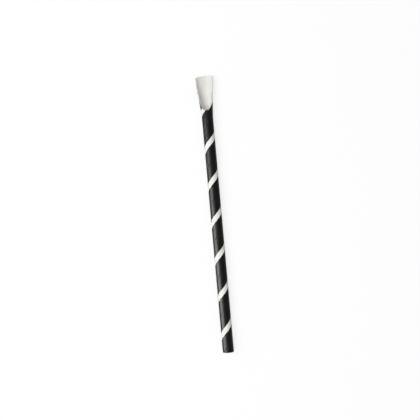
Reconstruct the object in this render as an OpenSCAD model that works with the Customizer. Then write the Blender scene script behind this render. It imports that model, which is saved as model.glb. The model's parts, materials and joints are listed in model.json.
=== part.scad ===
// Paper spoon straw, in millimetres.
// A wound paper tube is slotted at one end, and the paper left between the edges of
// the slot is opened out into a scoop. Tube and scoop are one piece of paper.
// The straw lies on its back along Y, with the scoop at +Y and its open side up.

/* [Tube] */
// Length over all, from the plain end to the tip of the scoop
straw_length = 197; // [140:1:280]
// Outside diameter of the tube
tube_diameter = 8; // [6:0.1:12]
// Thickness of the paper wall, all plies together
wall = 0.5; // [0.3:0.05:0.8]

/* [Scoop] */
// Length of the scoop, from the root of the slot to the tip
scoop_length = 25.6; // [18:0.1:40]
// Width of the scoop's paper at the tip, measured round its outside
scoop_width = 13.9; // [12:0.1:20]
// Outside radius across the tip, where the paper is opened out the most
tip_radius = 9.2; // [6:0.1:40]
// Height from the root of the slot at which the paper starts to open
flare_start = 1.8; // [0:0.1:8]
// Radius of the two corners at the tip
corner_radius = 1.8; // [0.6:0.1:3]
// How far the middle of the tip stands ahead of its sides
tip_bow = 0.8; // [0:0.1:3]
// How far the back of the scoop rises towards the tip
tip_lift = 0.4; // [0:0.1:3]

/* [Slot] */
// Width of the slot at the top of its round root, measured round the tube
slot_width = 6.9; // [3:0.1:9]
// Length of the round root, from its lowest point to where the straight sides start
root_length = 4.8; // [2:0.1:10]
// How far the paper is pressed wide near the root, on each side
root_spread = 0.4; // [0:0.05:1]
// Height above the root at which it is pressed widest
press_height = 4; // [0:0.5:10]
// Length of tube below the root over which it goes from round to oval
oval_length = 7; // [3:0.5:15]
// Length above the widest place over which that extra width fades out
fade_length = 7; // [6:0.5:18]

/* [Hidden] */

// Steps of the loft: round the paper and round each corner of the tip
across_steps = 32;
corner_steps = 4;
// Steps of the loft: up the closed oval, up the slot's root and up to the tip
oval_steps = 5;
root_steps = 8;
flare_steps = 14;
// Facets of the turned tube
tube_facets = 96;

tube_radius = tube_diameter / 2;
tube_half_turn = PI * tube_radius;
scoop_half = scoop_width / 2;
root_half = slot_width / 2;
tip_slot_half = tube_half_turn - scoop_half;
root_y = straw_length / 2 - scoop_length;
join_y = root_y - oval_length;
// The loft's first ring lies this far inside the tube's wall, so its facets stay on the tube's end face
seat = 2 * tube_radius * (1 - cos(180 / across_steps));

// Places across the paper, as shares of its half width, closer together at the corners
corner_share = corner_radius / scoop_half;
corner_places = [for (k = [1:corner_steps]) 1 - corner_share * (1 - sin(90 * k / corner_steps))];
across = concat(
    [for (k = [corner_steps - 1:-1:0]) -corner_places[k]],
    [for (k = [0:across_steps]) (1 - corner_share) * (2 * k / across_steps - 1)],
    corner_places
);
columns = len(across);
last_column = columns - 1;
root_end = oval_steps + root_steps;
last_row = root_end + flare_steps;

// Half of the slot's width round the tube, at a height above its root: half an ellipse at the root,
// then straight sides that part towards the tip
function root_rise(height) = sqrt(1 - pow(max(0, 1 - height / root_length), 2));
function side_share(height) = max(0, (height - root_length) / (scoop_length - root_length));
function slot_at(height) =
    height <= 0 ? 0
    : root_half * root_rise(height) + (tip_slot_half - root_half) * side_share(height);

// Half of the paper's width round its outside
function paper_half(height) = tube_half_turn - slot_at(height);

// Curve across the paper: the tube's own, then less and less towards the tip
function flare_share(height) = max(0, (height - flare_start) / (scoop_length - flare_start));
function curve_at(height) =
    1 / tube_radius + (1 / tip_radius - 1 / tube_radius) * flare_share(height);

// Rise of the scoop's back
function lift_at(height) = tip_lift * pow(flare_share(height), 2);

// Extra half width of the pressed oval, full at its widest place and eased out both ways
function eased(share) = share * share * (3 - 2 * share);
function press_share(height) =
    height < press_height ? (height + oval_length) / (press_height + oval_length)
    : 1 - (height - press_height) / fade_length;
function spread_at(height) = root_spread * eased(max(0, press_share(height)));

// Height of the tip's edge, lower towards the sides and round the corners
function corner_drop(place) =
    let (past = max(0, (abs(place) - 1 + corner_share) / corner_share))
    corner_radius * (1 - sqrt(max(0, 1 - past * past)));
function tip_height(place) = scoop_length - tip_bow * place * place - corner_drop(place);

// Height of a row of the loft: level rows up the oval and the root, then rows that follow the tip
function row_height(row, place) =
    row <= oval_steps ? oval_length * (row / oval_steps - 1)
    : row <= root_end ? root_length * pow((row - oval_steps) / root_steps, 2)
    : root_length + (tip_height(place) - root_length) * (row - root_end) / flare_steps;

// Depths of the paper's outside and inside: its whole wall, but a hair less where it is seated on the tube
function sheet_depths(row) = row == 0 ? [seat, wall - seat] : [0, wall];

// Point of the paper at a row and a place, at a depth under its outside
function paper_point(row, place, depth) =
    let (
        height = row_height(row, place),
        radius = 1 / curve_at(height),
        turn = place * paper_half(height) / radius * 180 / PI,
        wide = radius + spread_at(height),
        tall = radius - spread_at(height)
    )
    [(wide - depth) * sin(turn), root_y + height, lift_at(height) + tall - (tall - depth) * cos(turn)];

// The rows up to the root are closed rings, so there the last column is the first one
function outside(row, column) =
    row * columns + (row <= oval_steps && column == last_column ? 0 : column);
function inside(row, column) = outside(row, column) + (last_row + 1) * columns;

// Paper round the slot and out to the tip, lofted from rings and open arcs
module scoop_paper() {
    points = [
        for (side = [0, 1])
        for (row = [0:last_row])
        for (place = across)
        paper_point(row, place, sheet_depths(row)[side])
    ];
    skins = [
        for (row = [0:last_row - 1])
        for (column = [0:last_column - 1])
        for (face = [
            [outside(row, column), outside(row + 1, column + 1), outside(row + 1, column)],
            [outside(row, column), outside(row, column + 1), outside(row + 1, column + 1)],
            [inside(row, column), inside(row + 1, column), inside(row + 1, column + 1)],
            [inside(row, column), inside(row + 1, column + 1), inside(row, column + 1)]
        ])
        face
    ];
    slot_edges = [
        for (row = [oval_steps:last_row - 1])
        for (face = [
            [outside(row, 0), outside(row + 1, 0), inside(row, 0)],
            [inside(row, 0), outside(row + 1, 0), inside(row + 1, 0)],
            [outside(row, last_column), inside(row, last_column), outside(row + 1, last_column)],
            [inside(row, last_column), inside(row + 1, last_column), outside(row + 1, last_column)]
        ])
        face
    ];
    ends = [
        for (column = [0:last_column - 1])
        for (face = [
            [outside(0, column), inside(0, column), outside(0, column + 1)],
            [inside(0, column), inside(0, column + 1), outside(0, column + 1)],
            [outside(last_row, column), outside(last_row, column + 1), inside(last_row, column)],
            [inside(last_row, column), outside(last_row, column + 1), inside(last_row, column + 1)]
        ])
        face
    ];
    polyhedron(points, concat(skins, slot_edges, ends));
}

// Plain tube from the square-cut end up to the loft, with its bore right through
module tube() {
    tube_length = join_y + straw_length / 2;
    translate([0, -straw_length / 2, tube_radius])
    rotate([-90, 0, 0])
    difference() {
        cylinder(h = tube_length, r = tube_radius, $fn = tube_facets);
        translate([0, 0, -wall])
        cylinder(h = tube_length + 2 * wall, r = tube_radius - wall, $fn = tube_facets);
    }
}

module straw() {
    color("#282726")
    union() {
        tube();
        scoop_paper();
    }
}

straw();
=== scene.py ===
"""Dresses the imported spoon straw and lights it.

The paper is cut and seamed while it lies flat, printed side down, and then rolled into the tube
and the scoop. Lengths are in metres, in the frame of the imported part: Y runs along the straw
towards the tip of the scoop, and Z up out of the scoop's open side.
"""

import json
import math

import bpy
from bpy.props import FloatProperty, FloatVectorProperty, PointerProperty
from mathutils import Matrix, Vector


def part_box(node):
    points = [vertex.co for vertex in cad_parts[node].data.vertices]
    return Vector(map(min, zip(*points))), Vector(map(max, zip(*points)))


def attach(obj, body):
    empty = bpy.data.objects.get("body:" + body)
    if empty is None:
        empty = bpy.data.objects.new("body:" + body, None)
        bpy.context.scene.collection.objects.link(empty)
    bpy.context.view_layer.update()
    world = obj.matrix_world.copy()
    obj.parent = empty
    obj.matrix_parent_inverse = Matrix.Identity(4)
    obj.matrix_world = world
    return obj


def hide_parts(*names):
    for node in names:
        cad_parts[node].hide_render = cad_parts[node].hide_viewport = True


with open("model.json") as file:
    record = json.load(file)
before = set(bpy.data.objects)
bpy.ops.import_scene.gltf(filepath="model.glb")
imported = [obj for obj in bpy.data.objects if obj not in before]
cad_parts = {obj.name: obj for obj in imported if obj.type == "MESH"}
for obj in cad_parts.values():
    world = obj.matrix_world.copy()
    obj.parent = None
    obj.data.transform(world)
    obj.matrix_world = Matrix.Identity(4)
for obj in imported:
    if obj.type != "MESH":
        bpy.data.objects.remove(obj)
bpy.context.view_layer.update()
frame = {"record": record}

bl_info = {
    "name": "Spoon straw",
    "version": (1, 0, 0),
    "blender": (4, 5, 0),
    "location": "3D View > Sidebar > Straw",
    "description": "Makes a wound paper straw with a spoon end, and a white stage for it",
    "category": "Add Mesh",
}

MILLIMETRE = 0.001

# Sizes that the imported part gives, in millimetres
mounts = {mount["name"]: mount["dims"] for mount in frame["record"]["mounts"]}
lowest_corner, highest_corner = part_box("straw")
PACKED_LENGTH = (highest_corner.y - lowest_corner.y) / MILLIMETRE
PACKED_RADIUS = mounts["tube_outside"]["r_mm"]
PACKED_BORE = mounts["tube_bore"]["r_mm"]

# Rows of the flat paper: up the tube, up its oval end, up the slot's root and up to the tip
TUBE_ROWS = 85
OVAL_ROWS = 12
ROOT_ROWS = 16
FLARE_ROWS = 40
# Columns of the flat paper: round each corner of the tip and between the corners
CORNER_COLUMNS = 12
MIDDLE_COLUMNS = 72

# Points nearer to each other, or to a cut, than these count as one
MERGE_DISTANCE = 0.001 * MILLIMETRE
CUT_SNAP = 0.02 * MILLIMETRE
# Faces that meet at less than this are shaded as one surface
SMOOTH_ANGLE = math.radians(40)

# What the mesh notes for its finishes, and the places of the finishes in its slots
PATTERN_MAP = "Paper"
DEPTH = "depth"
FROM_CUT = "from_cut"
PRINTED, INNER, CUT = range(3)

# The furthest that anything lies from a line that repeats at each whole number
HALF_REPEAT = 0.5
# Values that most of a noise lies between, and how strong its finest spots are
NOISE_LOW = 0.3
NOISE_HIGH = 0.7
NOISE_ROUGHNESS = 0.55

# Grain of the paper: sizes of its fibres and clouds, in colour and in relief
FIBRES = 0.3 * MILLIMETRE
CUT_FIBRES = 0.1 * MILLIMETRE
PRINT_CLOUDS = 1.6 * MILLIMETRE
PAPER_CLOUDS = 2.5 * MILLIMETRE
RELIEF_FIBRES = 0.12 * MILLIMETRE
RELIEF_CLOUDS = 0.7 * MILLIMETRE
# Depth and strength of the relief on the outside, the inside and the cuts
PRINT_RELIEF = (0.006 * MILLIMETRE, 0.35)
INNER_RELIEF = (0.01 * MILLIMETRE, 0.4)
CUT_RELIEF = (0.02 * MILLIMETRE, 0.6)

# Lightness of the darkest and lightest grain, as shares of a colour
BLACK_DARKEST = 0.85
BLACK_LIGHTEST = 1.25
WHITE_DARKEST = 0.965
INNER_DARKEST = 0.96
CUT_DARKEST = 0.9
# Lightness of the dark line along the cut edges, as a share of the black: partly ink dragged over the cut,
# partly painted shade
INK_AND_SHADE_LINE_LIGHTNESS = 1.5
# Range of fibres and clouds added together inside
MOTTLE_LOW = 0.75
MOTTLE_HIGH = 1.25

# Roughness of the satin print, the bare stripe, the inside and the cuts, what clouds add to it, and gloss
PRINT_ROUGHNESS = 0.37
STRIPE_ROUGHNESS = 0.85
INNER_ROUGHNESS = 0.62
CUT_ROUGHNESS = 0.8
CLOUDED_ROUGHNESS = 0.03
PRINT_SPECULAR = 0.08
PAPER_SPECULAR = 0.05

# Edge of the stripe: size of its fraying, and how far it frays and blurs in pitches
FRAY_SIZE = 0.25 * MILLIMETRE
FRAY_REACH = 0.0012
STRIPE_BLUR = 0.0015

# Chips in the print: their size, and in millimetres their reach and where print is lost and kept
CHIP_SIZE = 0.3 * MILLIMETRE
CHIP_REACH = 0.1
PRINT_LOST = 0.02
PRINT_KEPT = 0.08

# Layers of a cut edge, as shares of the wall's depth, with the glue as shares of a ply
PLIES = 3.0
CUT_RAGGEDNESS = 0.03
# Where the dark line at the printed side of a cut ends and where it is full: ink dragged over the cut,
# drawn wider than the ink's own depth as painted shade along every cut edge
INK_AND_SHADE_LINE_END = 0.2
INK_AND_SHADE_LINE_FULL = 0.14
GLUE_START = 0.15
GLUE_FULL = 0.2
GLUE_LINE_EDGE = 0.13
GLUE_LINE_CORE = 0.05

# The stage: its lamps' places, widths and lengths, and its floor
SOFT_BOX_PLACE = (-0.38, 0.0, 0.92)
SOFT_BOX_SIZE = (0.9, 0.9)
GLOSS_STRIP_PLACE = (-0.64, -0.15, 0.43)
GLOSS_STRIP_SIZE = (0.48, 0.7)
FLOOR_SIZE = 8.0
FLOOR_ROUGHNESS = 0.9
PLAIN_WHITE = (1.0, 1.0, 1.0, 1.0)
# Heights over the horizon up to which the room is white, and from which it has its even light
WHITE_UP_TO = math.radians(6)
EVEN_FROM = math.radians(14)


def length_of(name, description, millimetres):
    """A length that the user can set, given in millimetres."""
    return FloatProperty(
        name=name,
        description=description,
        default=millimetres * MILLIMETRE,
        min=0.0,
        precision=5,
        subtype="DISTANCE",
        unit="LENGTH",
    )


def share_of(name, description, value):
    """A share from 0 to 1 that the user can set."""
    return FloatProperty(
        name=name, description=description, default=value, min=0.0, max=1.0, subtype="FACTOR"
    )


def colour_of(name, description, colour):
    """A colour that the user can set."""
    return FloatVectorProperty(
        name=name, description=description, default=colour, min=0.0, max=1.0, subtype="COLOR"
    )


def angle_of(name, description, degrees):
    """An angle that the user can set, given in degrees."""
    return FloatProperty(
        name=name, description=description, default=math.radians(degrees), subtype="ANGLE"
    )


def power_of(name, description, watts):
    """A lamp's power that the user can set."""
    return FloatProperty(name=name, description=description, default=watts, min=0.0, unit="POWER")


def grey(value):
    """A colour with no hue."""
    return (value, value, value)


class PaperSizes(bpy.types.PropertyGroup):
    """Sizes of the paper, the same as those of the solid that it stands for."""

    straw_length: length_of("Length", "From the plain end to the tip of the scoop", PACKED_LENGTH)
    tube_diameter: length_of("Tube diameter", "Outside diameter of the tube", 2 * PACKED_RADIUS)
    wall: length_of("Wall", "Thickness of the paper, all plies together", PACKED_RADIUS - PACKED_BORE)
    scoop_length: length_of("Scoop length", "From the root of the slot to the tip", 25.6)
    scoop_width: length_of("Scoop width", "Width of the paper at the tip, round its outside", 13.9)
    tip_radius: length_of("Tip radius", "Outside radius across the tip", 9.2)
    flare_start: length_of("Flare start", "Height at which the paper starts to open", 1.8)
    corner_radius: length_of("Corner radius", "Radius of the two corners at the tip", 1.8)
    tip_bow: length_of("Tip bow", "How far the middle of the tip stands ahead of its sides", 0.8)
    tip_lift: length_of("Tip lift", "How far the back of the scoop rises towards the tip", 0.4)
    slot_width: length_of("Slot width", "Width of the slot at the top of its round root", 6.9)
    root_length: length_of("Root length", "Length of the slot's round root", 4.8)
    root_spread: length_of("Root spread", "How far the paper is pressed wide near the root", 0.4)
    press_height: length_of("Press height", "Height at which it is pressed widest", 4)
    oval_length: length_of("Oval length", "Length of tube that goes from round to oval", 7)
    fade_length: length_of("Fade length", "Length above that place that loses the extra width", 7)
    seam_width: length_of("Seam width", "Width of the groove where two turns of a ply meet", 0.16)
    seam_depth: length_of("Seam depth", "Depth of that groove", 0.05)


class PrintLooks(bpy.types.PropertyGroup):
    """The print on the outside, and the colours of print and paper."""

    pitch: length_of("Pitch", "Length of tube that one turn of the stripe climbs", 26.34)
    stripe_width: length_of("Stripe width", "Width of the white stripe, measured along the tube", 4.85)
    stripe_place: share_of("Stripe place", "Where the stripe crosses the back line, in pitches", 0.381)
    seam_place: share_of("Seam place", "Place of the outer ply's seam, in pitches", 0.881)
    inner_seam_place: share_of("Inner seam place", "Place of the inner ply's seam, in pitches", 0.14)
    black: colour_of("Black", "Colour of the black print", (0.0085, 0.0080, 0.0074))
    white: colour_of("White", "Colour of the bare white stripe", (0.885, 0.875, 0.845))
    inner_white: colour_of("Inner white", "Colour of the paper inside", (0.775, 0.763, 0.725))
    glue: colour_of("Glue lines", "Colour of the glue between the plies", (0.42, 0.38, 0.32))


class StageLooks(bpy.types.PropertyGroup):
    """The camera, the lamps and the floor."""

    lens: FloatProperty(
        name="Lens", description="Focal length in millimetres", default=50.0, min=1.0, unit="CAMERA"
    )
    distance: length_of("Distance", "From the camera to the straw's middle line", 414)
    roll: angle_of("Roll", "How far the straw is rolled under the camera", 7)
    lean: angle_of("Lean", "How far the straw leans to the left in the picture", 5.11)
    aim_along: length_of("Aim along", "Where the picture's middle lies along the straw", 2.8)
    aim_left: length_of("Aim left", "How far left of the straw the picture's middle lies", 4.05)
    floor_white: colour_of("Floor", "Colour of the floor", grey(0.99))
    floor_bounce: colour_of("Floor bounce", "Colour of the floor in the light it bounces", grey(0.25))
    floor_glow: share_of("Floor glow", "Share of plain white that the camera sees in the floor", 0.8)
    ambient: share_of("Ambient", "Strength of the even light from above", 0.34)
    strip_power: power_of("Gloss strip", "Power of the lamp that shows only in gloss", 38)
    soft_power: power_of("Soft box", "Power of the lamp that lights the paper", 8.7)


class Paper:
    """The straw's paper: its flat outline, and where each point of it goes when it is rolled."""

    def __init__(self, sizes):
        self.sizes = sizes
        self.tube_radius = sizes.tube_diameter / 2
        self.half_turn = math.pi * self.tube_radius
        self.root_half = sizes.slot_width / 2
        self.tip_slot_half = self.half_turn - sizes.scoop_width / 2
        self.root_y = sizes.straw_length / 2 - sizes.scoop_length
        self.foot_height = -sizes.straw_length / 2 - self.root_y
        self.corner_share = 2 * sizes.corner_radius / sizes.scoop_width

    def half_width(self, height):
        """Half of the paper's width at a height above the slot's root: all round below the root."""
        sizes = self.sizes
        below_top = min(1.0, max(0.0, 1 - height / sizes.root_length))
        up_side = max(0.0, (height - sizes.root_length) / (sizes.scoop_length - sizes.root_length))
        root_slot = self.root_half * math.sqrt(1 - below_top * below_top)
        return self.half_turn - root_slot - (self.tip_slot_half - self.root_half) * up_side

    def opened_at(self, height):
        """How far the paper is opened out: not at all below the flare, and fully at the tip."""
        sizes = self.sizes
        return max(0.0, (height - sizes.flare_start) / (sizes.scoop_length - sizes.flare_start))

    def radius_at(self, height):
        """Outside radius of the rolled paper: the tube's, then more and more towards the tip."""
        tube_curve = 1 / self.tube_radius
        tip_curve = 1 / self.sizes.tip_radius
        return 1 / (tube_curve + (tip_curve - tube_curve) * self.opened_at(height))

    def spread_at(self, height):
        """How far the paper is pressed wide: full at one height and eased out both ways."""
        sizes = self.sizes
        above = height - sizes.press_height
        reach = sizes.fade_length if above > 0 else sizes.press_height + sizes.oval_length
        near = max(0.0, 1 - abs(above) / reach)
        return sizes.root_spread * near * near * (3 - 2 * near)

    def tip_height(self, place):
        """Height of the tip's edge at a place from -1 to 1 across the paper."""
        sizes = self.sizes
        past = max(0.0, (abs(place) - 1 + self.corner_share) / self.corner_share)
        drop = sizes.corner_radius * (1 - math.sqrt(max(0.0, 1 - past * past)))
        return sizes.scoop_length - sizes.tip_bow * place * place - drop

    def from_cut(self, flat):
        """Distance from a point of the flat paper to the nearest cut edge."""
        height = flat.y - self.root_y
        half = self.half_width(height)
        aside = half - abs(flat.x)
        to_slot = aside if height > 0 else math.hypot(aside, height)
        to_tip = self.tip_height(flat.x / half) - height
        return min(to_slot, to_tip, height - self.foot_height)

    def place_of(self, column):
        """Place of a column across the paper, closer together at the corners of the tip."""
        straight = 1 - self.corner_share
        from_middle = column - CORNER_COLUMNS - MIDDLE_COLUMNS / 2
        past = abs(from_middle) - MIDDLE_COLUMNS / 2
        if past <= 0:
            return straight * 2 * from_middle / MIDDLE_COLUMNS
        round_corner = self.corner_share * math.sin(past / CORNER_COLUMNS * math.pi / 2)
        return math.copysign(straight + round_corner, from_middle)

    def height_of(self, row, place):
        """Height of a row above the slot's root: level rows to the root's end, then rows like the tip."""
        sizes = self.sizes
        if row <= TUBE_ROWS:
            return self.foot_height + (-sizes.oval_length - self.foot_height) * row / TUBE_ROWS
        row -= TUBE_ROWS
        if row <= OVAL_ROWS:
            return sizes.oval_length * (row / OVAL_ROWS - 1)
        row -= OVAL_ROWS
        if row <= ROOT_ROWS:
            return sizes.root_length * (row / ROOT_ROWS) ** 2
        row -= ROOT_ROWS
        return sizes.root_length + (self.tip_height(place) - sizes.root_length) * row / FLARE_ROWS

    def rolled(self, flat):
        """Where a point of the flat paper goes: X is its way round, Y its way along and Z its depth."""
        height = flat.y - self.root_y
        radius = self.radius_at(height)
        spread = self.spread_at(height)
        turn = flat.x / radius
        wide = radius + spread
        tall = radius - spread
        lift = self.sizes.tip_lift * self.opened_at(height) ** 2
        side = (wide - flat.z) * math.sin(turn)
        return Vector((side, flat.y, lift + tall - (tall - flat.z) * math.cos(turn)))


class Winding:
    """The slant at which the plies are wound: lines that climb one pitch in each turn."""

    def __init__(self, paper, pitch):
        self.round = 2 * paper.half_turn
        self.pitch = pitch
        self.strip_width = self.round * pitch / math.hypot(self.round, pitch)
        self.across = Vector((pitch, self.round, 0)).normalized()

    def turns(self, flat):
        """Turns of the winding up to a point of the flat paper."""
        return flat.x / self.round + flat.y / self.pitch

    def distance(self, flat, place):
        """Distance from a point to the nearest line with that place."""
        past = self.turns(flat) - place
        return abs(past - round(past)) * self.strip_width

    def lines(self, place, length):
        """Points where the lines with that place cross the back line, on paper of that length."""
        reach = length / 2 / self.pitch + HALF_REPEAT
        first = math.ceil(-reach - place)
        last = math.floor(reach - place)
        return [Vector((0, (place + turn) * self.pitch, 0)) for turn in range(first, last + 1)]


class Finish:
    """A material's nodes, added one after the other."""

    def __init__(self, name):
        self.material = bpy.data.materials.new(name)
        self.material.use_nodes = True
        self.nodes = self.material.node_tree.nodes
        self.links = self.material.node_tree.links
        self.shader = self.nodes["Principled BSDF"]

    def add(self, kind, inputs, output=0, **settings):
        """Adds a node, sets or links its inputs, and returns one of its outputs."""
        node = self.nodes.new(kind)
        for name, value in settings.items():
            setattr(node, name, value)
        for name, value in inputs.items():
            self.feed(node.inputs[name], value)
        return node.outputs[output]

    def feed(self, socket, value):
        """Links an output to an input, or sets the input to a plain value."""
        if isinstance(value, bpy.types.NodeSocket):
            self.links.new(value, socket)
        else:
            socket.default_value = value

    def math(self, operation, first, second):
        """Works out one value from two."""
        return self.add("ShaderNodeMath", {0: first, 1: second}, operation=operation)

    def noise(self, where, size, detail=3.0):
        """Cloudy pattern whose spots are about that size."""
        inputs = {"Vector": where, "Scale": 1 / size, "Detail": detail, "Roughness": NOISE_ROUGHNESS}
        return self.add("ShaderNodeTexNoise", inputs)

    def between(self, value, low, high, to_low=0.0, to_high=1.0):
        """Runs smoothly from one value to another as the input goes from low to high."""
        inputs = {
            "Value": value,
            "From Min": low,
            "From Max": high,
            "To Min": to_low,
            "To Max": to_high,
        }
        return self.add("ShaderNodeMapRange", inputs, interpolation_type="SMOOTHSTEP")

    def spread(self, noise, to_low=0.0, to_high=1.0):
        """Spreads the usual values of a noise from one value to another."""
        return self.between(noise, NOISE_LOW, NOISE_HIGH, to_low, to_high)

    def blend(self, share, first, second):
        """Mixes two colours."""
        inputs = {"Factor": share, "A": first, "B": second}
        node = self.nodes.new("ShaderNodeMix")
        node.data_type = "RGBA"
        for socket in node.inputs:
            if socket.enabled and socket.name in inputs:
                self.feed(socket, inputs[socket.name])
        return next(socket for socket in node.outputs if socket.enabled)

    def relief(self, where, depth, strength):
        """The felted surface of paper: fine fibres over slower clouds."""
        fibres = self.noise(where, RELIEF_FIBRES)
        clouds = self.noise(where, RELIEF_CLOUDS, detail=2.0)
        height = self.math("ADD", fibres, clouds)
        return self.add("ShaderNodeBump", {"Height": height, "Distance": depth, "Strength": strength})

    def shade(self, **inputs):
        """Feeds the shader. Words of a socket's name are joined by underscores."""
        sockets = {socket.name.replace(" ", "_").lower(): socket for socket in self.shader.inputs}
        for name, value in inputs.items():
            self.feed(sockets[name], value)
        return self.material


def tinted(colour, share=1.0):
    """A colour made lighter or darker, with full alpha, as sockets hold it."""
    return (colour[0] * share, colour[1] * share, colour[2] * share, 1.0)


def printed_share(finish, where, looks):
    """Where there is ink: off the climbing stripe, and not where the print is chipped at a cut."""
    flat = finish.add("ShaderNodeUVMap", {}, uv_map=PATTERN_MAP)
    ways = finish.add("ShaderNodeSeparateXYZ", {"Vector": flat}).node.outputs
    turns = finish.math("ADD", ways["X"], ways["Y"])
    past = finish.math("SUBTRACT", turns, looks.stripe_place)
    from_middle = finish.math("PINGPONG", past, HALF_REPEAT)
    fray = finish.spread(finish.noise(where, FRAY_SIZE, detail=2.0), -FRAY_REACH, FRAY_REACH)
    edge = finish.math("ADD", from_middle, fray)
    half = looks.stripe_width / looks.pitch / 2
    off_stripe = finish.between(edge, half - STRIPE_BLUR, half + STRIPE_BLUR)
    from_cut = finish.add("ShaderNodeAttribute", {}, "Fac", attribute_name=FROM_CUT)
    chips = finish.spread(finish.noise(where, CHIP_SIZE, detail=4.0), -CHIP_REACH, CHIP_REACH)
    kept = finish.between(finish.math("ADD", from_cut, chips), PRINT_LOST, PRINT_KEPT)
    return finish.math("MULTIPLY", off_stripe, kept)


def printed_finish(looks):
    """The outside: satin black print, with a climbing stripe of bare white paper."""
    finish = Finish("printed_paper")
    where = finish.add("ShaderNodeTexCoord", {}, "Object")
    ink = printed_share(finish, where, looks)
    clouds = finish.noise(where, PRINT_CLOUDS)
    darkest = tinted(looks.black, BLACK_DARKEST)
    lightest = tinted(looks.black, BLACK_LIGHTEST)
    black = finish.blend(finish.spread(clouds), darkest, lightest)
    fibres = finish.noise(where, FIBRES)
    white = finish.blend(finish.spread(fibres), tinted(looks.white, WHITE_DARKEST), tinted(looks.white))
    clouded = finish.spread(clouds, -CLOUDED_ROUGHNESS, CLOUDED_ROUGHNESS)
    plain = finish.between(ink, 0.0, 1.0, STRIPE_ROUGHNESS, PRINT_ROUGHNESS)
    return finish.shade(
        base_color=finish.blend(ink, white, black),
        roughness=finish.math("ADD", clouded, plain),
        specular_ior_level=PRINT_SPECULAR,
        normal=finish.relief(where, *PRINT_RELIEF),
    )


def inner_finish(looks):
    """The inside: bare white paper, soft and a little mottled."""
    finish = Finish("inner_paper")
    where = finish.add("ShaderNodeTexCoord", {}, "Object")
    fibres = finish.noise(where, FIBRES)
    clouds = finish.noise(where, PAPER_CLOUDS, detail=2.0)
    mottle = finish.between(finish.math("ADD", fibres, clouds), MOTTLE_LOW, MOTTLE_HIGH)
    darkest = tinted(looks.inner_white, INNER_DARKEST)
    return finish.shade(
        base_color=finish.blend(mottle, darkest, tinted(looks.inner_white)),
        roughness=INNER_ROUGHNESS,
        specular_ior_level=PAPER_SPECULAR,
        normal=finish.relief(where, *INNER_RELIEF),
    )


def cut_finish(looks):
    """The cut edges: white plies with glue between them, under a band of black that is partly printed ink
    and partly painted shade.
    """
    finish = Finish("cut_paper")
    where = finish.add("ShaderNodeTexCoord", {}, "Object")
    depth = finish.add("ShaderNodeAttribute", {}, "Fac", attribute_name=DEPTH)
    fibres = finish.noise(where, CUT_FIBRES)
    paper = finish.blend(finish.spread(fibres), tinted(looks.white, CUT_DARKEST), tinted(looks.white))
    ragged = finish.math("ADD", depth, finish.spread(fibres, -CUT_RAGGEDNESS, CUT_RAGGEDNESS))
    plies_deep = finish.math("MULTIPLY", ragged, PLIES)
    from_ply_edge = finish.math("PINGPONG", plies_deep, HALF_REPEAT)
    off_outside = finish.between(ragged, GLUE_START, GLUE_FULL)
    off_inside = finish.between(ragged, 1 - GLUE_START, 1 - GLUE_FULL)
    between_plies = finish.math("MULTIPLY", off_outside, off_inside)
    glue_line = finish.between(from_ply_edge, GLUE_LINE_EDGE, GLUE_LINE_CORE)
    glue = finish.math("MULTIPLY", glue_line, between_plies)
    glued = finish.blend(glue, paper, tinted(looks.glue))
    # Black along the printed side of every cut: partly ink dragged over the edge, partly painted shade
    ink_and_painted_shade_line = finish.between(ragged, INK_AND_SHADE_LINE_END, INK_AND_SHADE_LINE_FULL)
    return finish.shade(
        base_color=finish.blend(ink_and_painted_shade_line, glued, tinted(looks.black, INK_AND_SHADE_LINE_LIGHTNESS)),
        roughness=CUT_ROUGHNESS,
        specular_ior_level=PAPER_SPECULAR,
        normal=finish.relief(where, *CUT_RELIEF),
    )


def active_mesh():
    """The mesh of the piece that is being made."""
    return bpy.context.object.data


def edit(mode):
    """Goes into edit mode or out of it."""
    bpy.ops.object.mode_set(mode=mode)


def select_faces(wanted):
    """Selects the faces for which wanted is true, from outside edit mode."""
    mesh = active_mesh()
    for point in mesh.vertices:
        point.select = False
    for edge in mesh.edges:
        edge.select = False
    for face in mesh.polygons:
        face.select = wanted(face)


def lay_out_paper(paper, winding):
    """Adds the flat paper, cut to its outline with the printed side down, and maps its pattern."""
    columns = 2 * CORNER_COLUMNS + MIDDLE_COLUMNS
    rows = TUBE_ROWS + OVAL_ROWS + ROOT_ROWS + FLARE_ROWS
    bpy.ops.object.select_all(action="DESELECT")
    bpy.ops.mesh.primitive_grid_add(x_subdivisions=columns, y_subdivisions=rows, size=2)
    mesh = active_mesh()
    if len(mesh.vertices) != (columns + 1) * (rows + 1):
        raise RuntimeError("the grid doesn't have the rows and columns of the flat paper")
    # The grid spans -1 to 1 both ways, so a point's place on it gives its column and row
    for point in mesh.vertices:
        column = round((point.co.x + 1) / 2 * columns)
        row = round((point.co.y + 1) / 2 * rows)
        place = paper.place_of(column)
        height = paper.height_of(row, place)
        point.co = (place * paper.half_width(height), paper.root_y + height, 0)
    pattern = mesh.uv_layers[0]
    pattern.name = PATTERN_MAP
    for corner, mapped in zip(mesh.loops, pattern.data):
        flat = mesh.vertices[corner.vertex_index].co
        mapped.uv = (flat.x / winding.round, flat.y / winding.pitch)


def score_seams(winding, places, width, length):
    """Cuts lines along the middle and both sides of each seam, so that its groove has edges to fold on."""
    edit("EDIT")
    for place in places:
        for middle in winding.lines(place, length):
            for side in (-width / 2, 0, width / 2):
                bpy.ops.mesh.select_all(action="SELECT")
                bpy.ops.mesh.bisect(
                    plane_co=middle + winding.across * side, plane_no=winding.across, threshold=CUT_SNAP
                )
    bpy.ops.mesh.select_all(action="SELECT")
    bpy.ops.mesh.flip_normals()
    edit("OBJECT")


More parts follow.
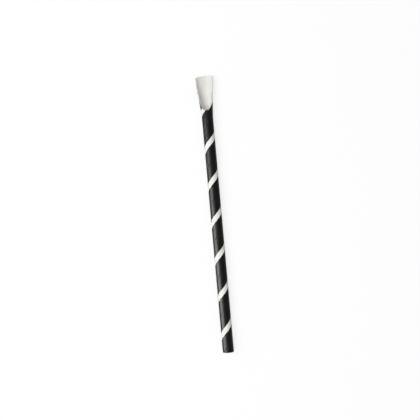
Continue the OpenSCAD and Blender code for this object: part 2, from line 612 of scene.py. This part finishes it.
def thicken_paper(paper, materials):
    """Gives the flat paper its wall, with print outside, bare paper inside and cut edges round it."""
    straw = bpy.context.object
    for material in materials:
        straw.data.materials.append(material)
    wall = straw.modifiers.new("Wall", "SOLIDIFY")
    wall.thickness = paper.sizes.wall
    wall.offset = -1
    wall.material_offset = INNER - PRINTED
    wall.material_offset_rim = CUT - PRINTED
    bpy.ops.object.modifier_apply(modifier=wall.name)

    def is_glued_side(face):
        return face.material_index == CUT and abs(face.center.x) > paper.half_turn - MERGE_DISTANCE

    select_faces(is_glued_side)
    edit("EDIT")
    bpy.ops.mesh.delete(type="ONLY_FACE")
    edit("OBJECT")


def note_places(paper):
    """Notes each point's share of the wall's depth, and its millimetres from the nearest cut."""
    mesh = active_mesh()
    for name in (DEPTH, FROM_CUT):
        mesh.attributes.new(name, "FLOAT", "POINT")
    depths = mesh.attributes[DEPTH].data
    distances = mesh.attributes[FROM_CUT].data
    for point, depth, distance in zip(mesh.vertices, depths, distances):
        depth.value = point.co.z / paper.sizes.wall
        distance.value = paper.from_cut(point.co) / MILLIMETRE


def press_seams(paper, winding, outer_place, inner_place):
    """Sinks the seams of the outermost and the innermost ply into the wall."""
    sizes = paper.sizes
    for point in active_mesh().vertices:
        inside = point.co.z > sizes.wall / 2
        away = winding.distance(point.co, inner_place if inside else outer_place)
        groove = sizes.seam_depth * max(0.0, 1 - 2 * away / sizes.seam_width)
        point.co.z += -groove if inside else groove


def roll_paper(paper):
    """Rolls the flat paper up and joins its two long sides below the slot."""
    for point in active_mesh().vertices:
        point.co = paper.rolled(point.co)
    edit("EDIT")
    bpy.ops.mesh.select_all(action="SELECT")
    bpy.ops.mesh.remove_doubles(threshold=MERGE_DISTANCE)
    edit("OBJECT")
    bpy.ops.object.shade_smooth_by_angle(angle=SMOOTH_ANGLE)


class STRAW_OT_printed_straw(bpy.types.Operator):
    """Make the straw's printed paper"""

    bl_idname = "straw.make_printed_straw"
    bl_label = "Printed straw"
    bl_options = {"REGISTER", "UNDO"}

    def execute(self, context):
        sizes = context.scene.straw_paper
        looks = context.scene.straw_print
        paper = Paper(sizes)
        winding = Winding(paper, looks.pitch)
        seams = (looks.seam_place, looks.inner_seam_place)
        lay_out_paper(paper, winding)
        straw = context.object
        straw.name = "printed_straw"
        straw.data.name = "printed_straw"
        score_seams(winding, seams, sizes.seam_width, sizes.straw_length)
        thicken_paper(paper, (printed_finish(looks), inner_finish(looks), cut_finish(looks)))
        note_places(paper)
        press_seams(paper, winding, *seams)
        roll_paper(paper)
        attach(straw, "root")
        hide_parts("straw")
        return {"FINISHED"}


def add_lamp(name, place, size, power):
    """Adds a soft lamp that shines at the straw's middle, with its length along the straw."""
    bpy.ops.object.light_add(type="AREA", location=place)
    lamp = bpy.context.object
    lamp.name = name
    lamp.rotation_euler = (-Vector(place)).to_track_quat("-Z", "Y").to_euler()
    lamp.data.shape = "RECTANGLE"
    lamp.data.size, lamp.data.size_y = size
    lamp.data.energy = power
    lamp.visible_camera = False
    return lamp


def add_floor(looks):
    """Adds the floor under the straw. It keeps shadows, and is seen near to plain white."""
    bpy.ops.mesh.primitive_plane_add(size=FLOOR_SIZE)
    floor = bpy.context.object
    floor.name = "floor"
    finish = Finish("white_floor")
    path = finish.nodes.new("ShaderNodeLightPath")
    seen = path.outputs["Is Camera Ray"]
    for name in ("Is Glossy Ray", "Is Transmission Ray"):
        seen = finish.math("MAXIMUM", seen, path.outputs[name])
    colour = finish.blend(seen, tinted(looks.floor_bounce), tinted(looks.floor_white))
    floor.data.materials.append(
        finish.shade(base_color=colour, roughness=FLOOR_ROUGHNESS, specular_ior_level=0.0)
    )
    glow = finish.add("ShaderNodeEmission", {"Color": PLAIN_WHITE, "Strength": 1.0})
    glowing = finish.math("MULTIPLY", seen, looks.floor_glow)
    lit = finish.add("ShaderNodeMixShader", {0: glowing, 1: finish.shader.outputs[0], 2: glow})
    finish.feed(finish.nodes["Material Output"].inputs["Surface"], lit)


def light_world(looks):
    """A dim room that is white all round at the height of the floor's far edge."""
    world = bpy.data.worlds.new("white_room")
    bpy.context.scene.world = world
    world.use_nodes = True
    tree = world.node_tree
    where = tree.nodes.new("ShaderNodeTexCoord")
    split = tree.nodes.new("ShaderNodeSeparateXYZ")
    strength = tree.nodes.new("ShaderNodeMapRange")
    strength.interpolation_type = "SMOOTHSTEP"
    strength.inputs["From Min"].default_value = math.sin(WHITE_UP_TO)
    strength.inputs["From Max"].default_value = math.sin(EVEN_FROM)
    strength.inputs["To Min"].default_value = 1.0
    strength.inputs["To Max"].default_value = looks.ambient
    background = tree.nodes["Background"]
    background.inputs["Color"].default_value = PLAIN_WHITE
    tree.links.new(where.outputs["Generated"], split.inputs[0])
    tree.links.new(split.outputs["Z"], strength.inputs["Value"])
    tree.links.new(strength.outputs[0], background.inputs["Strength"])


def place_camera(looks, axis_height):
    """Puts the camera above the straw, a little to the scoop's right."""
    away = Vector((math.sin(looks.roll), 0, math.cos(looks.roll)))
    beside = Vector((math.cos(looks.roll), 0, -math.sin(looks.roll)))
    along = Vector((0, 1, 0))
    right = math.cos(looks.lean) * beside - math.sin(looks.lean) * along
    up = math.sin(looks.lean) * beside + math.cos(looks.lean) * along
    aim = Vector((0, 0, axis_height)) + looks.aim_along * along - looks.aim_left * beside
    turned = Matrix((right, up, away)).transposed().to_4x4()
    bpy.ops.object.camera_add()
    camera = bpy.context.object
    camera.matrix_world = Matrix.Translation(aim + looks.distance * away) @ turned
    camera.data.lens = looks.lens
    bpy.context.scene.camera = camera


class STRAW_OT_stage(bpy.types.Operator):
    """Set the floor, the lamps and the camera"""

    bl_idname = "straw.set_stage"
    bl_label = "Stage"
    bl_options = {"REGISTER", "UNDO"}

    def execute(self, context):
        looks = context.scene.straw_stage
        context.scene.view_settings.view_transform = "Standard"
        add_floor(looks)
        light_world(looks)
        add_lamp("soft_box", SOFT_BOX_PLACE, SOFT_BOX_SIZE, looks.soft_power)
        strip = add_lamp("gloss_strip", GLOSS_STRIP_PLACE, GLOSS_STRIP_SIZE, looks.strip_power)
        strip.visible_diffuse = False
        place_camera(looks, context.scene.straw_paper.tube_diameter / 2)
        return {"FINISHED"}


class STRAW_PT_sidebar(bpy.types.Panel):
    """The straw's operators and settings"""

    bl_label = "Spoon straw"
    bl_space_type = "VIEW_3D"
    bl_region_type = "UI"
    bl_category = "Straw"

    def draw(self, context):
        for operator, settings in (
            (STRAW_OT_printed_straw, (context.scene.straw_paper, context.scene.straw_print)),
            (STRAW_OT_stage, (context.scene.straw_stage,)),
        ):
            self.layout.operator(operator.bl_idname)
            box = self.layout.box()
            for group in settings:
                for name in group.__annotations__:
                    box.prop(group, name)


CLASSES = (
    PaperSizes,
    PrintLooks,
    StageLooks,
    STRAW_OT_printed_straw,
    STRAW_OT_stage,
    STRAW_PT_sidebar,
)


def register():
    for each in CLASSES:
        bpy.utils.register_class(each)
    bpy.types.Scene.straw_paper = PointerProperty(type=PaperSizes)
    bpy.types.Scene.straw_print = PointerProperty(type=PrintLooks)
    bpy.types.Scene.straw_stage = PointerProperty(type=StageLooks)


def unregister():
    del bpy.types.Scene.straw_stage
    del bpy.types.Scene.straw_print
    del bpy.types.Scene.straw_paper
    for each in reversed(CLASSES):
        bpy.utils.unregister_class(each)


def main():
    register()
    bpy.ops.straw.make_printed_straw()
    bpy.ops.straw.set_stage()


if __name__ == "__main__":
    main()
